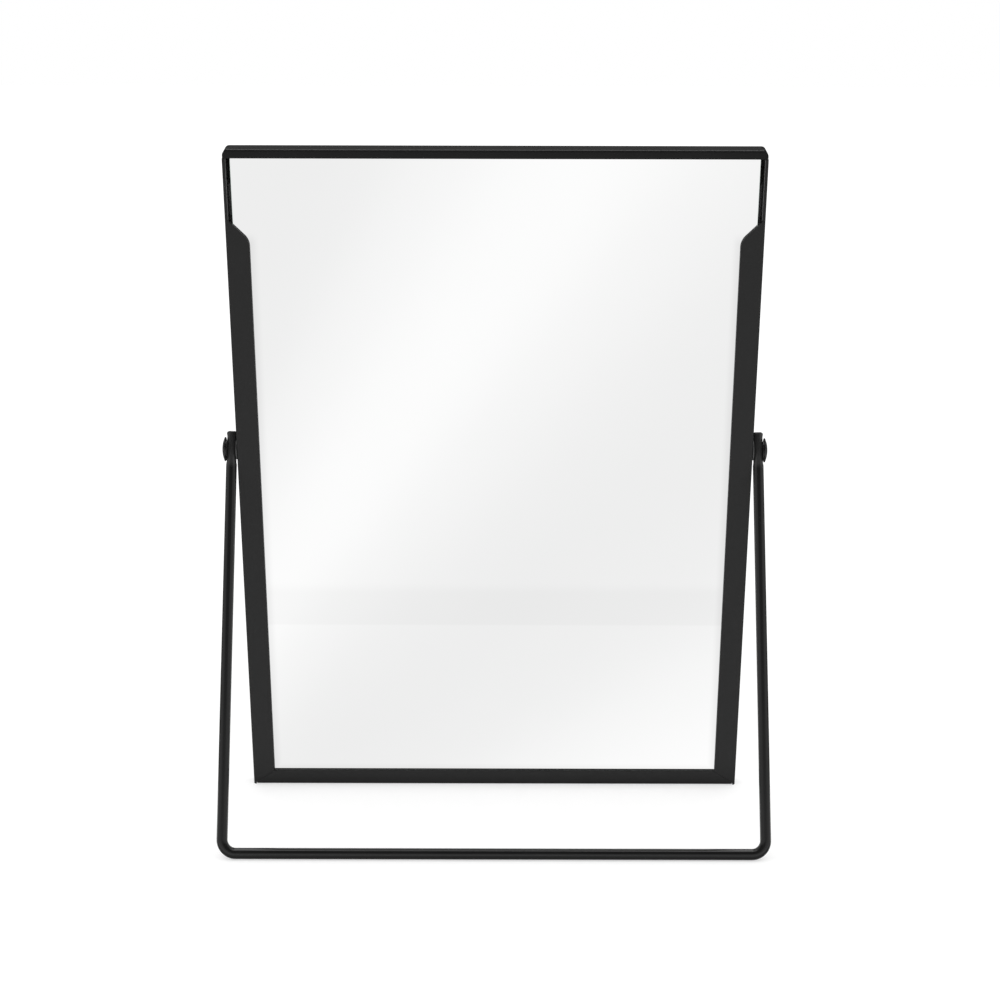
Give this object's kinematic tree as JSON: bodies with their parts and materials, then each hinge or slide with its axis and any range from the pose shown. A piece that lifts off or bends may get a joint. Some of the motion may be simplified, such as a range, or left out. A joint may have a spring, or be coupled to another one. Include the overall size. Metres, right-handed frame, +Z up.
{
  "type": "countertop mirror",
  "caption": "Rectangular tilting mirror in a folded black steel frame, hung between the legs of a U-shaped rod stand, for use on a counter.",
  "frame": {"origin": "on the counter, under the middle of the whole object's box", "axes": "+Z up from the counter, +X to the right of someone looking into the mirror, -Y towards that person"},
  "size_m": [0.2422, 0.1044, 0.301],
  "materials": {
    "frame_paint": "satin black powder coat with a very fine texture",
    "rod_paint": "smooth semi-gloss black enamel",
    "mirror": "polished silvered glass with a ground edge",
    "hardboard": "smooth brown hardboard",
    "foam": "matt closed-cell foam",
    "rubber": "matt black rubber",
    "zinc_steel": "bright zinc plate",
    "black_steel": "black oxide on spring steel, slightly oily",
    "nylon": "black nylon"
  },
  "bodies": {
    "stand": {"stand_frame": "rod_paint", "left_friction_washer": "nylon", "right_friction_washer": "nylon", "left_spring_washer": "black_steel", "right_spring_washer": "black_steel"},
    "mirror_panel": {"left_side_channel": "frame_paint", "right_side_channel": "frame_paint", "bottom_channel": "frame_paint", "top_rail": "frame_paint", "mirror_glass": "mirror", "backing_board": "hardboard", "left_foam_tape": "foam", "right_foam_tape": "foam", "bottom_foam_tape": "foam", "top_foam_tape": "foam", "left_setting_block": "rubber", "right_setting_block": "rubber", "left_corner_clip": "zinc_steel", "right_corner_clip": "zinc_steel", "left_rail_rivet": "frame_paint", "right_rail_rivet": "frame_paint", "left_pivot_plate": "zinc_steel", "right_pivot_plate": "zinc_steel", "left_pivot_screw": "rod_paint", "right_pivot_screw": "rod_paint"}
  },
  "joints": [
    {"name": "mirror_tilt", "type": "hinge", "parent": "stand", "child": "mirror_panel", "pos_m": [0, 0.01591, 0.1669], "axis": [1, 0, 0], "continuous": true}
  ]
}
